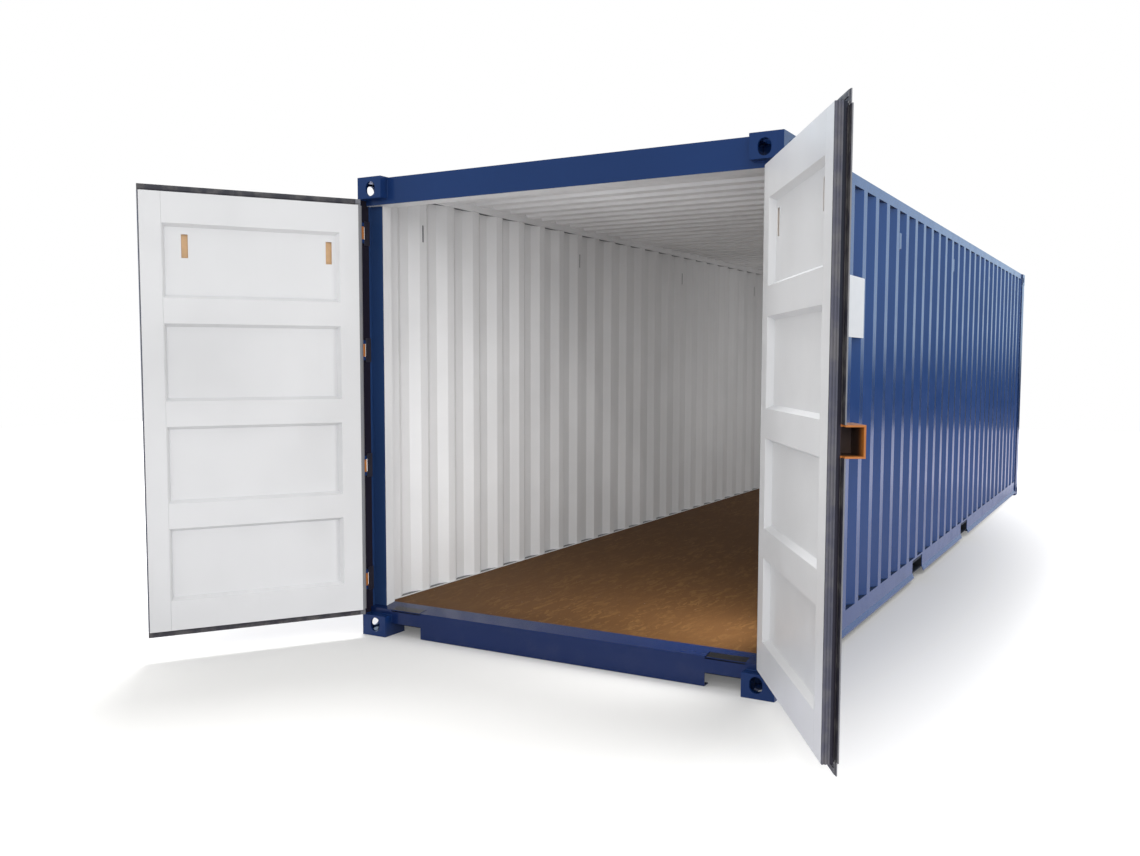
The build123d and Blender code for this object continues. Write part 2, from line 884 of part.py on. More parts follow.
def retainers():
    """Trays on the back of the pans that the handles lie in."""
    x0 = panel_back
    lip = bar_x - handle_joggle + handle_thickness / 2 + 1
    pieces = []
    for y, way, z in handle_places():
        profile = [(x0, z - retainer_lip), (x0, z + handle_height + retainer_lip),
                   (x0 + retainer_plate, z + handle_height + retainer_lip), (x0 + retainer_plate, z),
                   (lip, z), (lip, z + retainer_lip), (lip + retainer_plate, z + retainer_lip),
                   (lip + retainer_plate, z - retainer_plate), (x0 + retainer_plate, z - retainer_plate),
                   (x0 + retainer_plate, z - retainer_lip)]
        middle = y + way * (handle_length - retainer_from_end)
        pieces.append(across(profile, middle - retainer_width / 2, middle + retainer_width / 2))
    return pieces


def lock_box_low():
    """Underside of the lock box."""
    return lock_box_middle - lock_box_height / 2


def lock_box():
    """Hood over the edge where the leaves meet, open at one end and towards the leaves."""
    y0 = -cover_reach
    y1 = y0 + lock_box_length
    z0 = lock_box_low()
    z1 = z0 + lock_box_height
    wall = lock_box_wall
    box = block(leaf_out, leaf_out + lock_box_depth, y0, y1, z0, z1)
    box -= block(leaf_out, leaf_out + lock_box_depth - wall, y0, y1 - wall, z0 + wall, z1 - wall)
    return box - block(leaf_out, leaf_out + wall, y0, leaf_free, z0, z1)


def swung(shape, side):
    """A leaf's piece turned out to where it stands, side 1 right and -1 left."""
    angle = right_open_angle if side > 0 else left_open_angle
    placed = shape if side > 0 else mirrored(shape)
    there = Pos(pin_x, side * pin_y, 0)
    return there * Rot(0, 0, side * angle) * there.inverse() * placed


def door(side):
    """Every node of one leaf."""
    name = "right" if side > 0 else "left"
    free, hinge, bottom, top = leaf_frame()
    nodes = {"free_stile": [free], "hinge_stile": [hinge], "bottom_rail": [bottom],
             "top_rail": [top], "panel": leaf_panel(), "gasket": seals(side),
             "hinge_blades": hinge_blades(), "locking_bars": locking_bars(),
             "bar_guides": bar_guides(), "handles": handles(), "handle_retainers": retainers()}
    if side > 0:
        nodes["lock_box"] = [lock_box()]
    return {f"{name}_door_{key}": [swung(s, side) for s in shapes] for key, shapes in nodes.items()}


def container():
    """Every node that stands still."""
    return {
        "bottom_castings": bottom_castings(),
        "top_castings": top_castings(),
        "right_door_post": [door_post()],
        "left_door_post": [mirrored(door_post())],
        "right_hinge_lugs": hinge_lugs(),
        "left_hinge_lugs": [mirrored(s) for s in hinge_lugs()],
        "door_header": header(),
        "door_sill": sill(),
        "blind_end_posts": both_sides(end_post()),
        "blind_end_top_rail": [end_rail(height - end_rail_height)],
        "blind_end_bottom_rail": [end_rail(end_sill_bottom)],
        "right_top_rail": [top_rail()],
        "left_top_rail": [mirrored(top_rail())],
        "right_bottom_rail": [bottom_rail()],
        "left_bottom_rail": [mirrored(bottom_rail())],
        "right_wall": [side_wall()],
        "left_wall": [mirrored(side_wall())],
        "blind_end_wall": end_wall(),
        "roof_panel": roof_panel(),
        "right_wall_vents": vents(),
        "left_wall_vents": [mirrored(v) for v in vents()],
        "sign_board": sign_board(),
        "floor_boards": floor_boards(),
        "cross_members": cross_members(),
        "fork_pockets": fork_pockets(),
    }


def solids_of(shapes):
    found = []
    for shape in shapes:
        found += shape.solids()
    return found


def main():
    os.makedirs("parts", exist_ok=True)
    nodes = container()
    nodes.update(door(1))
    nodes.update(door(-1))
    for name, shapes in nodes.items():
        export_step(Compound(children=solids_of(shapes)), f"parts/{name}.step")


main()
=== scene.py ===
"""Looks of the shipping container: camera, studio, finishes and small pieces."""

import math

import bmesh
import bpy
from mathutils import Matrix, Vector


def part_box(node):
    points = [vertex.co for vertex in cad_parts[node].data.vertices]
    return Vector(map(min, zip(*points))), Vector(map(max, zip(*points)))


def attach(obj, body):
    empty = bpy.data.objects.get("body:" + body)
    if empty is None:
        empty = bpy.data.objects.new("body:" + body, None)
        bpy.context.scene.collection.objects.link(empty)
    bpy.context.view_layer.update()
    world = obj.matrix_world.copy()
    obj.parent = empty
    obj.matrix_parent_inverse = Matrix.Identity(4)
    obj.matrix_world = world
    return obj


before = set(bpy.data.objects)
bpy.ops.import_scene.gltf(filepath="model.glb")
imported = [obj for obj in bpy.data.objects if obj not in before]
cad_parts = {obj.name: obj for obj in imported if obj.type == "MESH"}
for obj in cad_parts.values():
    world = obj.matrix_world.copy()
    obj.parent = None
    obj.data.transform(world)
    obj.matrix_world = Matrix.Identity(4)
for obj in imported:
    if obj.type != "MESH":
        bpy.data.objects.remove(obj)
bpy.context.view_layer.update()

# Camera of the photograph, in pixels, metres and degrees, with its sensor in millimetres
photo_width = 1140
photo_height = 856
camera_place = Vector((9.2410, 2.7219, 1.5582))
camera_heading = 210.7642
camera_pitch = -4.3931
focal_pixels = 1062.354
view_centre = (535.119, 444.929)
sensor_width = 36.0
view_depth = 200.0

# The container's own planes in metres, read from the frame or set in from its faces
casting_width = 0.162
leg_thickness = 0.012
recess_depth = 0.1035
hollow_lap = 0.004
pin_inset = 0.014
end_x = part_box("bottom_castings")[1].x
side_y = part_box("bottom_castings")[1].y
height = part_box("top_castings")[1].z
casting_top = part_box("bottom_castings")[1].z
upper_casting_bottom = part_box("top_castings")[0].z
floor_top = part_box("floor_boards")[1].z
casting_inner_y = side_y - casting_width
hollow_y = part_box("right_wall")[0].y + hollow_lap
sill_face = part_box("door_sill")[1].x
recess_x = end_x - recess_depth
leg_inner_y = side_y - leg_thickness
pin_x = end_x - pin_inset
pin_y = side_y - pin_inset
open_angle = {"right": 120.0, "left": 122.0}

# Sides of the container as signs of Y
ways = {"right": 1, "left": -1}

# Hinges: middles from the ground up, and the notch of the post's leg that each one turns in
hinge_count = 4
hinge_first = 0.320
hinge_last = height - 0.303
notch_from_pin = 0.052
notch_half = 0.056

# Slots of a leaf: places from its pin to its free edge, height, and half sizes of the pads behind them
slot_places = (0.207, 0.969)
slot_middle = 2.161
slot_room = (0.0275, 0.071)

# Limits of painted patches: how square a face looks one way, and how far a patch reaches
square_on = 0.5
hair = 0.001
notch_y = (0.853, 1.057)
notch_depth = 0.06
# How far back past the notch the painted shade on the post's leg reaches
leg_shadow_reach = 0.012
seal_inner = 0.012
box_wall = 0.0065
box_gloom = (0.004, 0.075)

# The studio floor, in metres, its colour and the light it adds for the eye and for reflections
floor_ahead = 36.0
floor_behind = 18.0
floor_aside = 21.0
floor_pale = (0.60, 0.60, 0.60)
floor_seen = (0.75, 0.745, 0.73)
floor_gloss = (0.60, 0.62, 0.78)
floor_gloss_lift = 0.32
floor_lift = 0.10
floor_fade = (1.65, 3.65)
floor_shift = (-2.0, 0.45, 0.0)
floor_squeeze = (1.6 * side_y / end_x, 1.0, 1.0)

# The sky's even light, and what reflections see of it from below the horizon upwards
sky_light = 0.93
sky_gloss = (0.70, 0.89, 1.12)
sky_fade = (-0.02, 0.032)
sky_low = 0.07

# Gloss of the enamel and the wood, and colours as they look, red green blue
wall_ior = 1.42
frame_ior = 1.33
wood_ior = 1.14
white = (1.0, 1.0, 1.0)
blue = (0.022, 0.064, 0.215)
frame_blue = (0.008, 0.031, 0.124)
# The posts' blue is a darker copy of the walls' blue, painted shade for the leaves beside them
post_shaded_blue = (0.018, 0.047, 0.138)
sill_blue = (0.007, 0.020, 0.086)
under_black = (0.004, 0.005, 0.009)
# Painted shade on the sill's top behind its notches
notch_shade = (0.012, 0.012, 0.014)
off_white = (0.715, 0.715, 0.72)
grime = (0.46, 0.44, 0.42)
scuffed = (0.40, 0.38, 0.36)
orange = (0.50, 0.165, 0.025)
pale_orange = (0.74, 0.47, 0.25)
# Painted shade inside the lock box and on the plate at its back
box_shade = (0.055, 0.022, 0.010)
# Dark rubber of the sealant, and painted shade in the seal's groove at the free edge, on the free stile's
# edge, on the posts' legs and on the hinge guards
dark_rubber_and_shade = (0.014, 0.011, 0.018)
rubber_grey = (0.036, 0.032, 0.037)
# A painted sheen on the seal's band near the leaf's inner face
rubber_sheen_slate = (0.082, 0.082, 0.112)
# Pale rubber at the hinges, and a painted sheen on the end of the seal's lip
pale_rubber_and_sheen = (0.19, 0.19, 0.205)
# Painted shade on the rails in the hollows of the walls
ledge_shade = (0.010, 0.011, 0.020)
vent_dark = (0.075, 0.078, 0.085)
board_white = (0.88, 0.87, 0.86)
rust = (0.16, 0.055, 0.02)
dust = (0.25, 0.23, 0.20)
strand_dark = (0.046, 0.020, 0.007)
strand_middle = (0.118, 0.056, 0.020)
strand_pale = (0.190, 0.099, 0.035)
bare_steel = (0.30, 0.29, 0.28)
brown_steel = (0.20, 0.13, 0.08)

# Strands of the floor boards: how each layer is turned, how fine it is, how far it bends and moves
strand_turns = (0.35, 1.25, 2.15, 2.9)
strand_scale = (11.0, 52.0, 10.0)
strand_bend = (2.0, 7.0, 0.0)
strand_shift = (3.1, 1.7, 0.0)

# Screw, bolt and rivet heads, with widths and heights as shares of their radius and rise
dome = ((1.0, 0.0), (1.0, 0.35), (0.86, 0.72), (0.55, 0.95))
socket_widths = (0.40, 0.32)
washer_spread = 1.55
washer_rise = 0.25
washer_sides = 16
hexagon = 6
hexagon_levels = (0.2, 0.85, 1.0)
hexagon_chamfer = 0.86

# Hinge guards, dark strips of painted shade in the hinge gaps: thickness, the foot on the leg, the crank and
# the free end, from the pin
guard_thickness = 0.002
guard_landing = 0.018
guard_foot = 0.002
guard_step = -0.004
guard_crank = (0.040, 0.034)
guard_mitre = 0.001
guard_end = 0.018
guard_slant = 0.0015
guard_lap = 0.012

# Weld beads: radii, where they start and stop, and the length, depth and number of their ripples
frame_weld = 0.0035
box_weld = 0.003
box_weld_rise = 0.001
weld_end = 0.012
header_weld_stop = 0.004
sill_weld_length = 0.044
ripple = 0.0075
ripple_depth = 0.22
fewest_steps = 4
bead_end = 0.35
bead_sides = 7

# Seal screws: size, spacing and places on the leaf
screw_radius = 0.0035
screw_rise = 0.0018
screw_sides = 10
screw_pitch = 0.145
screw_start = 0.03
screw_stop = 0.045
screw_up = 0.004
seal_lap = 0.006
strip_inset = 0.018
strip_lap = 0.010
strip_box_gap = 0.02

# Bolts of the bar guides, and how near two corners of a guide's faces are one
bolt_radius = 0.0055
bolt_rise = 0.005
bolt_inset = 0.011
guide_plate = 0.004
same_corner = 0.00002

# Sealant at the ends of the cover strip, and the dark plate of painted shade at the back of the lock box
sealant_levels = (0.0075, 0.0145)
sealant_reach = (0.030, 0.0015)
sealant_depth = (-0.0005, 0.0055)
sealant_bevel = 0.0008
back_margin = 0.008
back_edge = 0.002
back_depth = (0.0001, 0.002)
back_bevel = 0.0006

# Floor screws and rivets
floor_rows = 27
floor_columns = 8
floor_row_ends = (0.22, 0.03)
floor_screw_inset = 0.05
floor_screw_radius = 0.0045
floor_screw_rise = 0.0006
floor_screw_socket = 0.5
rivet_radius = 0.0045
rivet_rise = 0.002
rivet_sides = 12
rivet_inset = 0.018
rivet_count = 6

upwards = Vector((0.0, 0.0, 1.0))


def scaled(values, factor):
    return tuple(factor * value for value in values)


# Node building


class Graph:
    """A tree of shader nodes that is built up step by step."""

    def __init__(self, tree):
        self.tree = tree

    def node(self, kind, settings=None, **sockets):
        made = self.tree.nodes.new("ShaderNode" + kind)
        for key, value in (settings or {}).items():
            setattr(made, key, value)
        for key, value in sockets.items():
            self.feed(made.inputs[key.replace("_", " ")], value)
        return made

    def feed(self, socket, value):
        """A link where the value comes out of a node, and otherwise a constant."""
        if isinstance(value, bpy.types.NodeSocket):
            self.tree.links.new(value, socket)
        elif isinstance(value, tuple) and len(value) == 3 and socket.type == "RGBA":
            socket.default_value = (*value, 1.0)
        else:
            socket.default_value = value

    def maths(self, operation, *values):
        made = self.node("Math", {"operation": operation})
        for socket, value in zip(made.inputs, values):
            self.feed(socket, value)
        return made.outputs[0]

    def vector_maths(self, operation, *values):
        made = self.node("VectorMath", {"operation": operation})
        for socket, value in zip(made.inputs, values):
            self.feed(socket, value)
        return made

    def mix(self, factor, first, second, blend="MIX"):
        """Two colours mixed."""
        made = self.node("Mix", {"data_type": "RGBA", "blend_type": blend})
        self.feed(made.inputs[0], factor)
        self.feed(made.inputs[6], first)
        self.feed(made.inputs[7], second)
        return made.outputs[2]

    def mix_numbers(self, factor, first, second):
        made = self.node("Mix")
        self.feed(made.inputs[0], factor)
        self.feed(made.inputs[2], first)
        self.feed(made.inputs[3], second)
        return made.outputs[0]

    def between(self, value, low, high, out_low=0.0, out_high=1.0):
        """The value from low to high as a smooth step from out_low to out_high."""
        made = self.node("MapRange", {"interpolation_type": "SMOOTHSTEP", "clamp": True}, Value=value)
        self.feed(made.inputs["From Min"], low)
        self.feed(made.inputs["From Max"], high)
        self.feed(made.inputs["To Min"], out_low)
        self.feed(made.inputs["To Max"], out_high)
        return made.outputs["Result"]


class Paint(Graph):
    """The nodes of one finish, placed by the object's own coordinates."""

    def __init__(self, name, roughness=0.5, metallic=0.0):
        self.material = bpy.data.materials.new(name)
        self.material.use_nodes = True
        super().__init__(self.material.node_tree)
        self.shader = self.tree.nodes["Principled BSDF"]
        self.shader.inputs["Roughness"].default_value = roughness
        self.shader.inputs["Metallic"].default_value = metallic
        self.coords = self.node("TexCoord")
        self.place = self.coords.outputs["Object"]

    def stretched(self, scale, turn=0.0, shift=(0.0, 0.0, 0.0)):
        """The place in the object, scaled by axis and turned about Z."""
        mapping = self.node("Mapping", None, Vector=self.place, Scale=scale, Location=shift,
                            Rotation=(0.0, 0.0, turn))
        return mapping.outputs["Vector"]

    def noise(self, scale, detail=4.0, roughness=0.55, stretch=(1.0, 1.0, 1.0), shift=(0.0, 0.0, 0.0)):
        made = self.node("TexNoise", None, Vector=self.stretched(stretch, 0.0, shift), Scale=scale,
                         Detail=detail, Roughness=roughness)
        return made.outputs["Fac"]

    def axis(self, name):
        """One coordinate of the place."""
        return self.node("SeparateXYZ", None, Vector=self.place).outputs[name]

    def along(self, direction, source="Object"):
        """How far the place or the normal lies along a direction."""
        return self.vector_maths("DOT_PRODUCT", self.coords.outputs[source], direction).outputs["Value"]

    def faces(self, direction):
        """One where a face looks in a direction, and zero elsewhere."""
        return self.maths("GREATER_THAN", self.along(direction, "Normal"), square_on)

    def colour(self, value):
        self.feed(self.shader.inputs["Base Color"], value)

    def bump(self, heights, strength, distance):
        made = self.node("Bump", None, Strength=strength, Distance=distance, Height=heights)
        self.feed(self.shader.inputs["Normal"], made.outputs["Normal"])


# Finishes


def aged(paint, colour, seed):
    """A paint colour with broad, faint variation."""
    broad = paint.between(paint.noise(0.9, 3.0, shift=(seed, 0.7 * seed, 0.3 * seed)), 0.35, 0.65)
    lighter = tuple(min(1.0, c) for c in scaled(colour, 1.04))
    return paint.mix(broad, scaled(colour, 0.94), lighter)


def streaks(paint, seed):
    """Thin upright runs, as rain and condensation leave them."""
    return paint.noise(6.0, 3.0, 0.6, (4.0, 4.0, 0.25), (seed, seed, 0.0))


def weathered_blue(paint, seed, colour=blue):
    """Gloss enamel with faint runs, dirt on low ledges and a few specks of rust."""
    base = aged(paint, colour, seed)
    runs = paint.between(streaks(paint, seed), 0.58, 0.80, 0.0, 0.10)
    base = paint.mix(runs, base, tuple(c + 0.004 for c in scaled(colour, 1.5)))
    foot = paint.between(paint.axis("Z"), 0.02, 0.30, 0.035, 0.0)
    cloud = paint.between(paint.noise(5.0, 6.0, 0.65), 0.50, 0.75)
    base = paint.mix(paint.maths("MULTIPLY", foot, cloud), base, dust)
    specks = paint.between(paint.noise(38.0, 6.0, 0.7, shift=(seed, 3.0, 1.0)), 0.72, 0.75)
    patches = paint.between(paint.noise(2.2, 2.0, shift=(2.0, seed, 5.0)), 0.57, 0.63)
    return paint.mix(paint.maths("MULTIPLY", specks, patches), base, rust)


def weathered_white(paint, seed):
    """Off-white enamel with faint grime runs and a few scuffs low down."""
    base = aged(paint, off_white, seed)
    runs = paint.between(streaks(paint, seed + 2.0), 0.60, 0.90, 0.0, 0.07)
    base = paint.mix(runs, base, grime)
    scuff = paint.between(paint.noise(24.0, 6.0, 0.7, (1.0, 1.0, 0.35), (seed, 0.0, 2.0)), 0.70, 0.78)
    low = paint.between(paint.axis("Z"), 0.20, 1.0, 0.16, 0.0)
    return paint.mix(paint.maths("MULTIPLY", scuff, low), base, scuffed)


def enamel_gloss(paint, seed, ior, extra=0.0):
    """Uneven gloss and the very faint orange peel of sprayed paint."""
    gloss = paint.between(paint.noise(5.0, 4.0, shift=(seed, 0.0, 0.0)), 0.3, 0.75, 0.13, 0.22)
    paint.feed(paint.shader.inputs["Roughness"], paint.maths("ADD", gloss, extra))
    paint.bump(paint.noise(3.5, 2.0, 0.4), 0.03, 0.002)
    paint.shader.inputs["IOR"].default_value = ior


def outside_paint(name, seed):
    """The frame's blue gloss enamel on steel."""
    paint = Paint(name)
    paint.colour(weathered_blue(paint, seed, frame_blue))
    enamel_gloss(paint, seed, frame_ior)
    return paint.material


def sill_paint():
    """The sill's darker blue, with painted shade on its top behind the notches."""
    seed = 3.0
    paint = Paint("blue enamel of the sill")
    across = paint.maths("ABSOLUTE", paint.axis("Y"))
    within = paint.maths("MULTIPLY", paint.maths("GREATER_THAN", across, notch_y[0]),
                         paint.maths("LESS_THAN", across, notch_y[1]))
    front = paint.maths("GREATER_THAN", paint.axis("X"), sill_face - notch_depth)
    # Painted shade on the upward faces behind the notches
    mask = paint.maths("MULTIPLY", paint.maths("MULTIPLY", within, paint.faces(upwards)), front)
    paint.colour(paint.mix(mask, weathered_blue(paint, seed, sill_blue), notch_shade))
    enamel_gloss(paint, seed, frame_ior)
    return paint.material


def two_sided(name, outward, middle, seed, blue_from=None, colour=blue, dark=None, bare=None):
    """White on the faces that look inwards, blue on those that look outwards.

    outward is the direction out of the container, and middle is how far along it the sheet lies.
    Past blue_from along X every face is blue. dark is a function of the paint that gives a mask
    and the colour there, and bare one that gives a mask of what stays white.
    """
    paint = Paint(name)
    facing = paint.along(outward, "Normal")
    depth = paint.maths("SUBTRACT", paint.along(outward), middle)
    side = paint.maths("GREATER_THAN", paint.maths("ADD", facing, depth), 0.0)
    if blue_from is not None:
        side = paint.maths("MAXIMUM", side, paint.maths("GREATER_THAN", paint.axis("X"), blue_from))
    if bare:
        side = paint.maths("MULTIPLY", side, paint.maths("SUBTRACT", 1.0, bare(paint)))
    shade = paint.mix(side, weathered_white(paint, seed), weathered_blue(paint, seed, colour))
    if dark:
        mask, tone = dark(paint)
        shade = paint.mix(mask, shade, tone)
    paint.colour(shade)
    duller = paint.maths("MULTIPLY", paint.maths("SUBTRACT", 1.0, side), 0.20)
    enamel_gloss(paint, seed, wall_ior if colour == blue else frame_ior, duller)
    return paint.material


def ledge(outward, up):
    """Painted shade on a rail where the wall's hollows leave it bare, above or below the wall."""
    def mask(paint):
        beyond = paint.maths("GREATER_THAN", paint.along(outward), hollow_y)
        return paint.maths("MULTIPLY", paint.faces(up * upwards), beyond), ledge_shade
    return mask


def vent_back(outward):
    """The unlit back of a vent, seen through the slot in the wall."""
    def mask(paint):
        return paint.faces(-outward), vent_dark
    return mask


def leg_shadow(outward):
    """Painted shade on the front of the post's leg, in the gap where the leaf shades it."""
    def mask(paint):
        front = paint.maths("GREATER_THAN", paint.axis("X"), pin_x - notch_from_pin - leg_shadow_reach)
        return paint.maths("MULTIPLY", paint.faces(-outward), front), dark_rubber_and_shade
    return mask


def stile_rim(along, start):
    """The edge face of the free stile, dark as the seal's rubber that wraps it and as painted shade in the
    gap between the seal and the cover strip.
    """
    def mask(paint):
        return paint.maths("GREATER_THAN", paint.along(along), start), dark_rubber_and_shade
    return mask


def slot_walls(along, pin):
    """The insides of the pads behind the slots, which are as white as the leaf."""
    def mask(paint):
        total = 0.0
        high = paint.maths("ABSOLUTE", paint.maths("SUBTRACT", paint.axis("Z"), slot_middle))
        level = paint.maths("LESS_THAN", high, slot_room[1])
        for place in slot_places:
            away = paint.maths("SUBTRACT", paint.along(along), along.dot(pin) + place)
            near = paint.maths("LESS_THAN", paint.maths("ABSOLUTE", away), slot_room[0])
            total = paint.maths("ADD", total, paint.maths("MULTIPLY", near, level))
        return total
    return mask


def chipped(paint, colour):
    """Cloudy enamel with small rusty chips, and its fine grain."""
    base = paint.mix(paint.between(paint.noise(9.0, 4.0), 0.35, 0.65), colour, scaled(colour, 0.85))
    chips = paint.between(paint.noise(60.0, 5.0, 0.7), 0.69, 0.73)
    fine_grain(paint)
    return paint.mix(chips, base, rust)


def fine_grain(paint):
    paint.bump(paint.noise(180.0, 2.0), 0.15, 0.0006)


def orange_paint(name, colour):
    paint = Paint(name, roughness=0.42)
    paint.colour(chipped(paint, colour))
    return paint.material


def lock_box_paint():
    """Orange outside, with painted shade inside that grows darker the further in."""
    along, out = leaf_axes("right")
    pin = pin_of("right")
    low, high = leaf_box("right", "lock_box")
    paint = Paint("orange enamel of the lock box", roughness=0.42)
    rise = paint.maths("ABSOLUTE", paint.maths("SUBTRACT", paint.axis("Z"), (low[2] + high[2]) / 2))
    inside = paint.maths("LESS_THAN", rise, (high[2] - low[2]) / 2 - box_wall)
    front = paint.maths("LESS_THAN", paint.along(out), out.dot(pin) + high[1] - box_wall)
    depth = paint.maths("SUBTRACT", along.dot(pin) + high[0], paint.along(along))
    deep = paint.between(depth, box_gloom[0], box_gloom[1])
    mask = paint.maths("MULTIPLY", paint.maths("MULTIPLY", inside, front), deep)
    paint.colour(paint.mix(mask, chipped(paint, orange), box_shade))
    return paint.material


# Cloudy painted shade for the plate at the back of the lock box
def lock_box_back_paint():
    paint = Paint("lock box shade plate", roughness=0.7)
    cloud = paint.between(paint.noise(40.0, 4.0), 0.4, 0.65)
    paint.colour(paint.mix(cloud, box_shade, scaled(box_shade, 0.55)))
    fine_grain(paint)
    return paint.material


def worn_rubber(paint, base, wear):
    """Rubber with dust rubbed into it."""
    worn = paint.between(paint.noise(11.0, 5.0, 0.6), 0.4, 0.7, 0.0, wear)
    paint.colour(paint.mix(worn, base, dust))
    paint.bump(paint.noise(300.0, 3.0), 0.25, 0.0005)
    return paint.material


# Dark rubber of the sealant, and of the hinge guards as painted shade in the hinge gaps
def guard_rubber():
    return worn_rubber(Paint("hinge guard rubber", roughness=0.6), dark_rubber_and_shade, 0.04)


def seal_rubber(side):
    """A leaf's seal: grey, with painted shade in the groove at the free edge, a painted sheen in slate on the
    band near the inner face and in pale grey on the lip's end, and pale at the hinges.
    """
    paint = Paint(side + " seal rubber", roughness=0.6)
    along, out = leaf_axes(side)
    pin = pin_of(side)
    high = leaf_box(side, "free_stile")[1]
    hinge_start = leaf_box(side, "hinge_stile")[0][0]
    reach = paint.maths("SUBTRACT", paint.along(along), along.dot(pin))
    rise = paint.maths("SUBTRACT", paint.along(out), out.dot(pin))
    edge = paint.maths("GREATER_THAN", reach, high[0] - hair)
    # Painted shade in the groove at the free edge
    base = paint.mix(edge, rubber_grey, dark_rubber_and_shade)
    inner = paint.maths("LESS_THAN", rise, high[1] - seal_inner)
    # A painted sheen on the band near the inner face
    base = paint.mix(paint.maths("MULTIPLY", edge, inner), base, rubber_sheen_slate)
    outer_edge = paint.maths("MULTIPLY", edge, paint.maths("SUBTRACT", 1.0, inner))
    # A painted sheen on the end of the lip
    base = paint.mix(paint.maths("MULTIPLY", paint.faces(along), outer_edge), base, pale_rubber_and_sheen)
    hinge = paint.maths("LESS_THAN", reach, hinge_start + hair)
    return worn_rubber(paint, paint.mix(hinge, base, pale_rubber_and_sheen), 0.35)


def floor_wood():
    """Sealed strand board: short curved strands at many angles, with darker resin between them."""
    paint = Paint("strand board", roughness=0.60)
    paint.shader.inputs["IOR"].default_value = wood_ior
    warp = paint.node("TexNoise", None, Vector=paint.place, Scale=7.0, Detail=2.0)
    base = None
    for index, turn in enumerate(strand_turns):
        turned = paint.stretched(strand_scale, turn, scaled(strand_shift, index))
        bent = paint.vector_maths("MULTIPLY_ADD", warp.outputs["Color"], strand_bend, turned)
        strands = paint.node("TexVoronoi", {"feature": "F1"}, Scale=1.0, Randomness=1.0,
                             Vector=bent.outputs["Vector"])
        strand = paint.node("SeparateColor", None, Color=strands.outputs["Color"])
        pale = paint.between(strand.outputs["Red"], 0.55, 1.0)
        shade = paint.mix(pale, strand_middle, strand_pale)
        if base is None:
            base = shade
        else:
            base = paint.mix(paint.between(strand.outputs["Green"], 0.72, 0.78, 0.0, 0.85), base, shade)
    broad = paint.between(paint.noise(2.4, 4.0), 0.35, 0.65, 0.10, 0.70)
    base = paint.mix(broad, base, strand_middle)
    fine = paint.between(paint.noise(160.0, 4.0, 0.6), 0.35, 0.7)
    paint.colour(paint.mix(paint.maths("MULTIPLY", fine, 0.22), base, strand_dark))
    paint.bump(paint.noise(60.0, 4.0, 0.6), 0.16, 0.0012)
    return paint.material


def board_face(name):
    """Cloudy white enamel, left bare."""
    paint = Paint(name, roughness=0.35)
    cloud = paint.between(paint.noise(2.5, 4.0), 0.4, 0.7)
    paint.colour(paint.mix(cloud, board_white, scaled(board_white, 0.93)))
    paint.bump(paint.noise(120.0, 2.0), 0.08, 0.0004)
    return paint.material


def under_paint():
    """Coarse black paint of the underframe."""
    paint = Paint("underframe paint", roughness=0.6)
    paint.colour(weathered_blue(paint, 4.0, under_black))
    paint.bump(paint.noise(80.0, 3.0), 0.3, 0.0008)
    return paint.material


def steel(name, colour, roughness, seed):
    """Dull plated steel with tarnish."""
    paint = Paint(name, roughness, 0.85)
    tarnish = paint.between(paint.noise(70.0, 5.0, 0.65, shift=(seed, 0.0, 0.0)), 0.45, 0.7)
    paint.colour(paint.mix(tarnish, colour, scaled(colour, 0.45)))
    paint.bump(paint.noise(240.0, 3.0), 0.2, 0.0003)
    return paint.material


# Places on the leaves


def leaf_axes(side):
    """Along a leaf from its pin to its free edge, and out of its outer face, as it stands open."""
    angle = math.radians(open_angle[side])
    way = ways[side]
    along = Vector((math.sin(angle), -way * math.cos(angle), 0.0))
    out = Vector((math.cos(angle), way * math.sin(angle), 0.0))
    return along, out


def pin_of(side):
    return Vector((pin_x, ways[side] * pin_y, 0.0))


def leaf_box(side, key):
    """Lowest and highest of a leaf's node along the leaf, out of it and upwards, from the pin."""
    along, out = leaf_axes(side)
    pin = pin_of(side)
    points = [v.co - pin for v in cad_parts[f"{side}_door_{key}"].data.vertices]
    spans = [[p.dot(along) for p in points], [p.dot(out) for p in points], [p.z for p in points]]
    return [min(s) for s in spans], [max(s) for s in spans]


def frame_of(side):
    """The turn and place of a leaf: along it, upwards and out of its outer face, from its pin."""
    along, out = leaf_axes(side)
    turn = Matrix((along, upwards, out)).transposed().to_4x4()
    return Matrix.Translation(pin_of(side)) @ turn


# Dressing the nodes of the frame


def dress(node, material):
    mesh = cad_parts[node].data
    mesh.materials.clear()
    mesh.materials.append(material)


def dress_ends():
    """Castings, sill, header, roof and blind end."""
    enamel = outside_paint("blue enamel", 1.0)
    for node in ("bottom_castings", "top_castings", "right_hinge_lugs", "left_hinge_lugs", "blind_end_posts"):
        dress(node, enamel)
    dress("door_sill", sill_paint())
    up_and_out = Vector((1, 0, 1)).normalized()
    low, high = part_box("door_header")
    middle = up_and_out.dot((low + high) / 2)
    dress("door_header", two_sided("header paint", up_and_out, middle, 2.0, colour=frame_blue))
    dress("roof_panel", two_sided("roof paint", upwards, height, 5.0))
    for node in ("blind_end_wall", "blind_end_top_rail", "blind_end_bottom_rail"):
        low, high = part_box(node)
        outward = Vector((-1, 0, 1 if node == "blind_end_top_rail" else 0)).normalized()
        dress(node, two_sided(node + " paint", outward, outward.dot((low + high) / 2), 6.0))


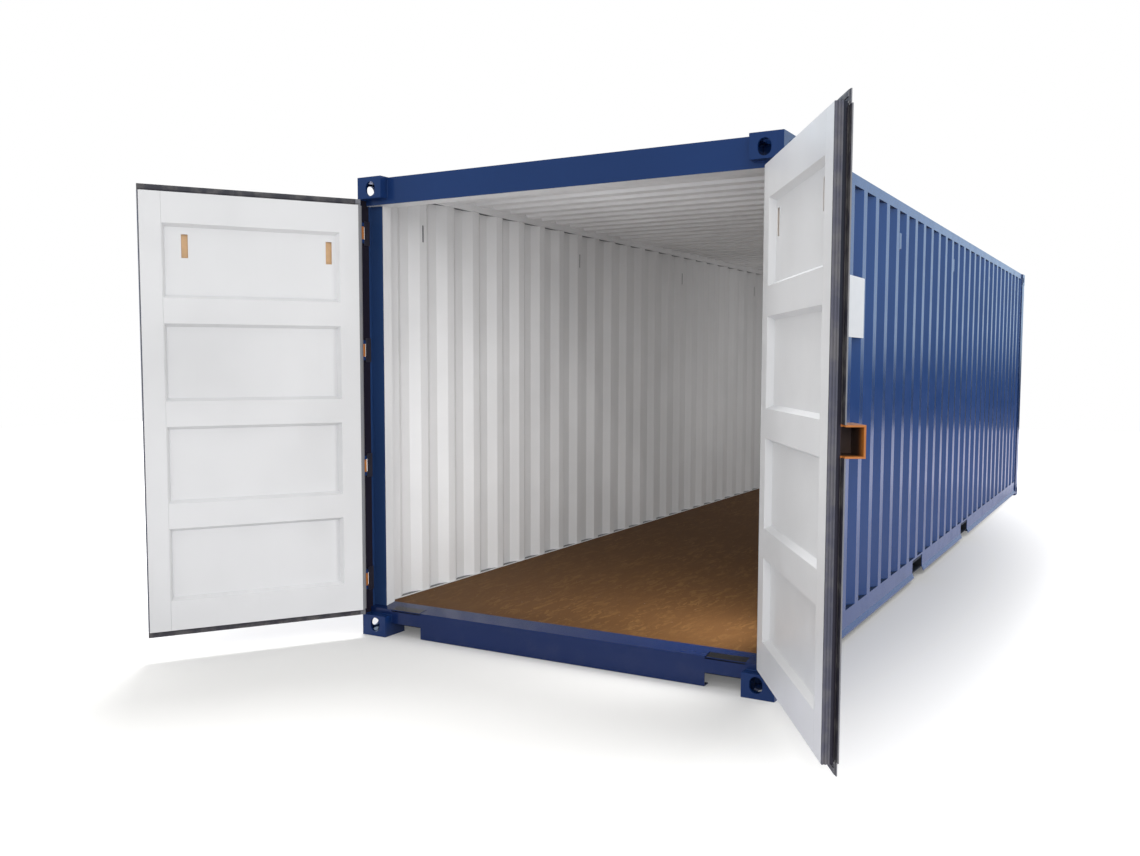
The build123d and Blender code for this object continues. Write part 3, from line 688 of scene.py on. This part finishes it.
def dress_side(side):
    """One side of the container: its wall, rails, vents and door post."""
    way = ways[side]
    outward = Vector((0, way, 0))
    for index, (key, up) in enumerate((("wall", 0), ("top_rail", -1), ("bottom_rail", 1))):
        node = side + "_" + key
        low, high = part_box(node)
        dark = ledge(outward, up) if up else None
        facing = Vector((0, way, 1)).normalized() if key == "top_rail" else outward
        middle = facing.dot((low + high) / 2)
        dress(node, two_sided(node + " paint", facing, middle, index + way, dark=dark))
    low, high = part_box(side + "_wall_vents")
    middle = abs(low.y + high.y) / 2
    vent = two_sided(side + " vent paint", outward, middle, 4.0, dark=vent_back(outward))
    dress(side + "_wall_vents", vent)
    low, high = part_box(side + "_door_post")
    inner = min(abs(low.y), abs(high.y))
    # The post's darker blue is painted shade, and so is the dark on its leg
    post = two_sided(side + " post paint", outward, inner, 3.0 + way, recess_x - hair, post_shaded_blue,
                     leg_shadow(outward))
    dress(side + "_door_post", post)


def dress_leaf(side, warm, pale):
    """One leaf: enamel, seal and locking gear."""
    along, out = leaf_axes(side)
    pin = pin_of(side)
    low, high = leaf_box(side, "free_stile")
    middle = out.dot(pin) + (low[1] + high[1]) / 2
    seed = 7.0 + ways[side]
    shell = two_sided(side + " leaf paint", out, middle, seed)
    for key in ("hinge_stile", "bottom_rail", "top_rail"):
        dress(f"{side}_door_{key}", shell)
    panel = two_sided(side + " panel paint", out, middle, seed, bare=slot_walls(along, pin))
    dress(f"{side}_door_panel", panel)
    # The dark on the free stile's edge is partly painted shade
    rim = stile_rim(along, along.dot(pin) + high[0] - hair)
    dress(f"{side}_door_free_stile", two_sided(side + " stile paint", out, middle, seed, dark=rim))
    dress(f"{side}_door_gasket", seal_rubber(side))
    dress(f"{side}_door_bar_guides", pale)
    for key in ("hinge_blades", "locking_bars", "handles", "handle_retainers"):
        dress(f"{side}_door_{key}", warm)


def dress_nodes():
    dress_ends()
    warm = orange_paint("orange enamel", orange)
    pale = orange_paint("pale orange enamel", pale_orange)
    for side in ways:
        dress_side(side)
        dress_leaf(side, warm, pale)
    dress("right_door_lock_box", lock_box_paint())
    dress("floor_boards", floor_wood())
    dress("sign_board", board_face("bare white board"))
    under = under_paint()
    dress("cross_members", under)
    dress("fork_pockets", under)


# Mesh building


def new_piece(name, mesh, material, body):
    """A mesh from a bmesh as an object that rides on a body."""
    data = bpy.data.meshes.new(name)
    mesh.normal_update()
    mesh.to_mesh(data)
    mesh.free()
    piece = bpy.data.objects.new(name, data)
    bpy.context.scene.collection.objects.link(piece)
    data.materials.append(material)
    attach(piece, body)


def circle(radius, sides):
    """Points round a circle."""
    angles = [math.tau * i / sides for i in range(sides)]
    return [(radius * math.cos(angle), radius * math.sin(angle)) for angle in angles]


def skin(mesh, rings):
    """Faces from ring to ring, closed at both ends."""
    count = len(rings[0])
    for lower, upper in zip(rings, rings[1:]):
        for i in range(count):
            j = (i + 1) % count
            mesh.faces.new((lower[i], lower[j], upper[j], upper[i]))
    mesh.faces.new(list(reversed(rings[0])))
    mesh.faces.new(rings[-1])


def add_plate(mesh, low, high, place, bevel):
    """A plate between two corners with rounded edges."""
    made = bmesh.ops.create_cube(mesh, size=1.0)["verts"]
    size = Vector(high) - Vector(low)
    middle = (Vector(high) + Vector(low)) / 2
    shape = Matrix.Translation(middle) @ Matrix.Diagonal((*size, 1.0))
    bmesh.ops.transform(mesh, verts=made, matrix=place @ shape)
    edges = list({edge for vertex in made for edge in vertex.link_edges})
    bmesh.ops.bevel(mesh, geom=edges, offset=bevel, segments=2, affect="EDGES", profile=0.5)


def add_outline(mesh, outline, low, high, place):
    """An outline raised from low to high, closed at both ends."""
    skin(mesh, [[mesh.verts.new(place @ Vector((a, b, c))) for a, b in outline] for c in (low, high)])


def add_head(mesh, place, radius, rise, sides, depth=0.0):
    """A domed head that looks along the place's third axis, with a socket if it has a depth."""
    profile = list(dome)
    top = dome[-1][1]
    if depth:
        profile += [(socket_widths[0], top), (socket_widths[1], top - depth)]
    rings = []
    for width, level in profile:
        spots = [Vector((a, b, level * rise)) for a, b in circle(width * radius, sides)]
        rings.append([mesh.verts.new(place @ spot) for spot in spots])
    skin(mesh, rings)


def add_bolt(mesh, place, radius, rise):
    """A hexagonal bolt head on a round washer."""
    foot, shoulder, top = scaled(hexagon_levels, rise)
    add_head(mesh, place, washer_spread * radius, washer_rise * rise, washer_sides)
    add_outline(mesh, circle(radius, hexagon), foot, shoulder, place)
    add_outline(mesh, circle(hexagon_chamfer * radius, hexagon), shoulder, top, place)


def add_bead(mesh, start, end, outward, radius):
    """A weld bead: overlapping ripples along a straight inner corner."""
    start, end, outward = Vector(start), Vector(end), Vector(outward).normalized()
    line = end - start
    length = line.length
    line.normalize()
    across = line.cross(outward)
    steps = max(fewest_steps, int(2 * length / ripple))
    rings = []
    for step in range(steps + 1):
        swell = bead_end if step in (0, steps) else 1.0 - ripple_depth * (step % 2)
        middle = start + line * (length * step / steps)
        spots = [middle + across * a + outward * b for a, b in circle(radius * swell, bead_sides)]
        rings.append([mesh.verts.new(spot) for spot in spots])
    skin(mesh, rings)


# Small pieces


def hinge_shade_guards(material):
    """Cranked dark strips behind the hinges, on the inner face of each post's leg, that close the gaps there
    and stand as painted shade in them.
    """
    root = notch_from_pin + guard_landing
    bend, knee = guard_crank
    line = [(root, guard_foot), (bend, guard_foot), (knee, guard_step), (guard_end, guard_step)]
    back = [(guard_end + guard_slant, guard_step), (knee - guard_mitre, guard_step),
            (bend - guard_mitre, guard_foot), (root, guard_foot)]
    profile = line + [(a, b - guard_thickness) for a, b in back]
    half = notch_half + guard_lap
    pitch = (hinge_last - hinge_first) / (hinge_count - 1)
    for side, way in ways.items():
        mesh = bmesh.new()
        outline = [(pin_x - a, way * (pin_y + b)) for a, b in profile]
        for index in range(hinge_count):
            middle = hinge_first + index * pitch
            add_outline(mesh, outline, middle - half, middle + half, Matrix())
        bmesh.ops.recalc_face_normals(mesh, faces=mesh.faces)
        new_piece(side + "_hinge_shade_guards", mesh, material, "container")


def frame_welds(material):
    """Beads where the sill, the header and the posts' legs meet the castings."""
    mesh = bmesh.new()
    header_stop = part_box("door_header")[1].z - header_weld_stop
    uprights = ((upper_casting_bottom, header_stop), (casting_top - sill_weld_length, casting_top))
    for way in ways.values():
        inner = way * casting_inner_y
        outer = way * leg_inner_y
        for z, up in ((casting_top, 1), (upper_casting_bottom, -1)):
            add_bead(mesh, (sill_face, inner, z), (sill_face, outer, z), (1, 0, up), frame_weld)
            add_bead(mesh, (sill_face, outer, z), (end_x - weld_end, outer, z), (0, -way, up), frame_weld)
        for low, high in uprights:
            add_bead(mesh, (sill_face, inner, low), (sill_face, inner, high), (1, -way, 0), frame_weld)
    new_piece("frame_welds", mesh, material, "container")


def seal_screws(side, material):
    """Screws along the seals at the top and the bottom of a leaf, and along the right one's cover strip."""
    place = frame_of(side)
    low, high = leaf_box(side, "free_stile")
    start = leaf_box(side, "hinge_stile")[0][0]
    width = high[0] - start
    count = int(width / screw_pitch)
    spots = []
    for z, way in ((low[2], 1), (high[2], -1)):
        for i in range(count + 1):
            along = start + screw_start + i * (width - screw_start - screw_stop) / count
            spots.append((along, z + way * screw_up, high[1] + seal_lap))
    if side == "right":
        box_low, box_high = leaf_box(side, "lock_box")
        below = (low[2] + screw_start, box_low[2] - strip_box_gap)
        above = (box_high[2] + strip_box_gap, high[2] - screw_start)
        for first, last in (below, above):
            steps = int((last - first) / screw_pitch)
            for i in range(steps + 1):
                z = first + i * (last - first) / steps
                spots.append((high[0] - strip_inset, z, high[1] + strip_lap))
    mesh = bmesh.new()
    for spot in spots:
        add_head(mesh, place @ Matrix.Translation(spot), screw_radius, screw_rise, screw_sides)
    new_piece(side + "_door_seal_screws", mesh, material, side + "_door")


def guide_plates(side):
    """Middles and half sizes of the guides' plates, from the groups of joined faces of their node."""
    pin = pin_of(side)
    along = leaf_axes(side)[0]
    mesh = bmesh.new()
    mesh.from_mesh(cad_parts[f"{side}_door_bar_guides"].data)
    bmesh.ops.remove_doubles(mesh, verts=mesh.verts, dist=same_corner)
    left = set(mesh.verts)
    found = []
    while left:
        group = []
        edge = [left.pop()]
        while edge:
            vertex = edge.pop()
            group.append(vertex.co - pin)
            for near in (e.other_vert(vertex) for e in vertex.link_edges):
                if near in left:
                    left.remove(near)
                    edge.append(near)
        a = [p.dot(along) for p in group]
        z = [p.z for p in group]
        middles = ((min(a) + max(a)) / 2, (min(z) + max(z)) / 2)
        halves = ((max(a) - min(a)) / 2, (max(z) - min(z)) / 2)
        found.append((middles, halves))
    mesh.free()
    return sorted(found)


def guide_bolts(side, material):
    """A bolt in each corner of each bar guide's plate."""
    place = frame_of(side)
    face = leaf_box(side, "free_stile")[1][1] + guide_plate
    mesh = bmesh.new()
    for (middle_a, middle_z), (half_a, half_z) in guide_plates(side):
        for a in (-1, 1):
            for z in (-1, 1):
                spot = (middle_a + a * (half_a - bolt_inset), middle_z + z * (half_z - bolt_inset), face)
                add_bolt(mesh, place @ Matrix.Translation(spot), bolt_radius, bolt_rise)
    new_piece(side + "_door_guide_bolts", mesh, material, side + "_door")


def lock_box_welds(material):
    """Beads round three sides of the lock box, where it stands on the leaf."""
    place = frame_of("right")
    along, out = leaf_axes("right")
    edge = leaf_box("right", "free_stile")[1]
    low, high = leaf_box("right", "lock_box")
    rise = edge[1] + box_weld_rise
    near_low, near_high, far_low, far_high = [place @ Vector((a, z, rise)) for a in (low[0], edge[0])
                                              for z in (low[2], high[2])]
    mesh = bmesh.new()
    add_bead(mesh, near_low, near_high, out - along, box_weld)
    add_bead(mesh, near_low, far_low, out - upwards, box_weld)
    add_bead(mesh, near_high, far_high, out + upwards, box_weld)
    new_piece("right_door_lock_box_welds", mesh, material, "right_door")


def sealant(material):
    """Beads of sealant at the ends of the cover strip."""
    low, high = leaf_box("right", "free_stile")
    mesh = bmesh.new()
    for z, way in ((low[2], 1), (high[2], -1)):
        bottom, top = sorted(z + way * level for level in sealant_levels)
        near = (high[0] - sealant_reach[0], bottom, high[1] + sealant_depth[0])
        far = (high[0] - sealant_reach[1], top, high[1] + sealant_depth[1])
        add_plate(mesh, near, far, frame_of("right"), sealant_bevel)
    new_piece("right_door_sealant", mesh, material, "right_door")


def lock_box_shade_plate(material):
    """A dark plate at the back of the lock box, put there as painted shade."""
    edge = leaf_box("right", "free_stile")[1]
    low, high = leaf_box("right", "lock_box")
    mesh = bmesh.new()
    near = (low[0] + back_margin, low[2] + back_margin, edge[1] + back_depth[0])
    far = (edge[0] - back_edge, high[2] - back_margin, edge[1] + back_depth[1])
    add_plate(mesh, near, far, frame_of("right"), back_bevel)
    new_piece("right_door_lock_box_back", mesh, material, "right_door")


def floor_screws(material):
    """Screws of the floor boards, in rows from side to side."""
    mesh = bmesh.new()
    low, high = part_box("floor_boards")
    first = low.x + floor_row_ends[0]
    last = high.x - floor_row_ends[1]
    width = high.y - low.y - 2 * floor_screw_inset
    for i in range(floor_rows):
        x = first + i * (last - first) / (floor_rows - 1)
        for j in range(floor_columns):
            y = low.y + floor_screw_inset + j * width / (floor_columns - 1)
            add_head(mesh, Matrix.Translation((x, y, floor_top)), floor_screw_radius, floor_screw_rise,
                     screw_sides, floor_screw_socket)
    new_piece("floor_screws", mesh, material, "container")


def board_rivets(material):
    """Rivets along the upper and the lower edge of the white board."""
    mesh = bmesh.new()
    low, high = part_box("sign_board")
    turn = Matrix.Rotation(-math.pi / 2, 4, "X")
    pitch = (high.x - low.x - 2 * rivet_inset) / (rivet_count - 1)
    for i in range(rivet_count):
        for z in (low.z + rivet_inset, high.z - rivet_inset):
            spot = Matrix.Translation((low.x + rivet_inset + i * pitch, high.y, z))
            add_head(mesh, spot @ turn, rivet_radius, rivet_rise, rivet_sides)
    new_piece("sign_board_rivets", mesh, material, "container")


def make_pieces():
    plated = steel("plated steel", bare_steel, 0.42, 1.0)
    guard = guard_rubber()
    hinge_shade_guards(guard)
    frame_welds(outside_paint("blue enamel over welds", 4.0))
    seal_screws("right", plated)
    guide_bolts("right", plated)
    lock_box_welds(orange_paint("orange enamel over welds", orange))
    seal_screws("left", plated)
    guide_bolts("left", plated)
    sealant(guard)
    lock_box_shade_plate(lock_box_back_paint())
    floor_screws(steel("tarnished screws", brown_steel, 0.55, 2.0))
    board_rivets(board_face("rivet paint"))


# Camera and studio


def make_camera():
    data = bpy.data.cameras.new("photo camera")
    data.sensor_fit = "HORIZONTAL"
    data.sensor_width = sensor_width
    data.lens = focal_pixels / photo_width * data.sensor_width
    data.shift_x = (photo_width / 2 - view_centre[0]) / photo_width
    data.shift_y = (view_centre[1] - photo_height / 2) / photo_width
    data.clip_end = view_depth
    heading = math.radians(camera_heading)
    pitch = math.radians(camera_pitch)
    look = Vector((math.cos(heading) * math.cos(pitch), math.sin(heading) * math.cos(pitch), math.sin(pitch)))
    camera = bpy.data.objects.new("photo camera", data)
    camera.location = camera_place
    camera.rotation_euler = look.to_track_quat("-Z", "Y").to_euler()
    bpy.context.scene.collection.objects.link(camera)
    bpy.context.scene.camera = camera


def make_world():
    """White for the eye, even light on the object, and for reflections a sky that ends at the horizon."""
    world = bpy.data.worlds.new("studio")
    bpy.context.scene.world = world
    world.use_nodes = True
    graph = Graph(world.node_tree)
    path = graph.node("LightPath").outputs
    coords = graph.node("TexCoord")
    height_seen = graph.node("SeparateXYZ", None, Vector=coords.outputs["Generated"]).outputs["Z"]
    sky = graph.between(height_seen, sky_fade[0], sky_fade[1], sky_low, 1.0)
    seen = graph.maths("MAXIMUM", path["Is Camera Ray"], path["Is Transmission Ray"])
    light = graph.mix_numbers(path["Is Glossy Ray"], sky_light, sky)
    background = graph.tree.nodes["Background"]
    graph.feed(background.inputs["Strength"], graph.mix_numbers(seen, light, 1.0))
    graph.feed(background.inputs["Color"], graph.mix(path["Is Glossy Ray"], white, sky_gloss))


def floor_paint():
    """Pale, with a shadow for the eye close to the object and a glow that rises to white further off."""
    material = bpy.data.materials.new("studio floor")
    material.use_nodes = True
    graph = Graph(material.node_tree)
    graph.tree.nodes.clear()
    path = graph.node("LightPath").outputs
    camera_ray = path["Is Camera Ray"]
    glossy_ray = path["Is Glossy Ray"]
    tone = graph.mix(glossy_ray, white, floor_gloss)
    near = graph.mix(camera_ray, tone, floor_seen, "MULTIPLY")
    shade = graph.mix(graph.maths("MAXIMUM", camera_ray, glossy_ray), floor_pale, near)
    coords = graph.node("TexCoord")
    moved = graph.vector_maths("ADD", coords.outputs["Object"], floor_shift)
    squeezed = graph.vector_maths("MULTIPLY", moved.outputs["Vector"], floor_squeeze)
    distance = graph.vector_maths("LENGTH", squeezed.outputs["Vector"])
    fade = graph.between(distance.outputs["Value"], floor_fade[0], floor_fade[1], floor_lift, 1.0)
    lift = graph.maths("MULTIPLY", camera_ray, fade)
    strength = graph.maths("MULTIPLY_ADD", glossy_ray, floor_gloss_lift, lift)
    both = graph.node("AddShader")
    graph.feed(both.inputs[0], graph.node("BsdfDiffuse", None, Color=shade).outputs[0])
    graph.feed(both.inputs[1], graph.node("Emission", None, Color=tone, Strength=strength).outputs[0])
    graph.node("OutputMaterial", None, Surface=both.outputs[0])
    return material


def make_floor():
    """A floor that ends at a finite distance, so that the walls reflect a horizon."""
    corners = [(-floor_behind, -floor_aside), (floor_ahead, -floor_aside),
               (floor_ahead, floor_aside), (-floor_behind, floor_aside)]
    mesh = bpy.data.meshes.new("studio floor")
    mesh.from_pydata([(x, y, 0.0) for x, y in corners], [], [(0, 1, 2, 3)])
    mesh.materials.append(floor_paint())
    floor = bpy.data.objects.new("studio_floor", mesh)
    bpy.context.scene.collection.objects.link(floor)


def place_lamp(name, data, place, target):
    lamp = bpy.data.objects.new(name, data)
    lamp.location = place
    lamp.rotation_euler = (Vector(target) - Vector(place)).to_track_quat("-Z", "Y").to_euler()
    lamp.visible_camera = False
    bpy.context.scene.collection.objects.link(lamp)
    return lamp


def soft_lamp(name, place, target, size, power):
    data = bpy.data.lights.new(name, "AREA")
    data.shape = "DISK"
    data.size = size
    data.energy = power
    place_lamp(name, data, place, target)


def panel_lamp(name, place, target, length, width, power):
    """A rectangular lamp that isn't seen in reflections."""
    data = bpy.data.lights.new(name, "AREA")
    data.shape = "RECTANGLE"
    data.size = length
    data.size_y = width
    data.energy = power
    place_lamp(name, data, place, target).visible_glossy = False


def point_lamp(name, place, target, size, power):
    """A round lamp that isn't seen in reflections."""
    data = bpy.data.lights.new(name, "POINT")
    data.shadow_soft_size = size
    data.energy = power
    place_lamp(name, data, place, target).visible_glossy = False


def make_lamps():
    """Broad lamps in front and above, and hidden ones that lift the cargo space."""
    soft_lamp("front", place=(17.0, 6.0, 5.5), target=(3.5, -0.5, 1.2), size=7.0, power=450.0)
    soft_lamp("above", place=(-0.5, -4.5, 15.0), target=(0.3, 0.3, 0.0), size=5.0, power=1500.0)
    panel_lamp("doorway", place=(recess_x - 0.3, 0.2, 1.05), target=(0.0, -0.8, 0.95),
               length=1.6, width=1.5, power=4.5)
    panel_lamp("near", place=(4.12, 0.98, 0.9), target=(4.12, -1.0, 0.6), length=0.5, width=1.0, power=18.0)
    panel_lamp("beside", place=(-1.6, 1.09, 1.0), target=(-1.6, -1.0, 1.0), length=5.2, width=1.3, power=19.0)
    point_lamp("inside", place=(-1.6, 0.2, 1.5), target=(-1.6, 0.2, 0.0), size=0.6, power=6.0)


bpy.context.scene.view_settings.view_transform = "Standard"
make_camera()
make_world()
make_floor()
make_lamps()
dress_nodes()
make_pieces()
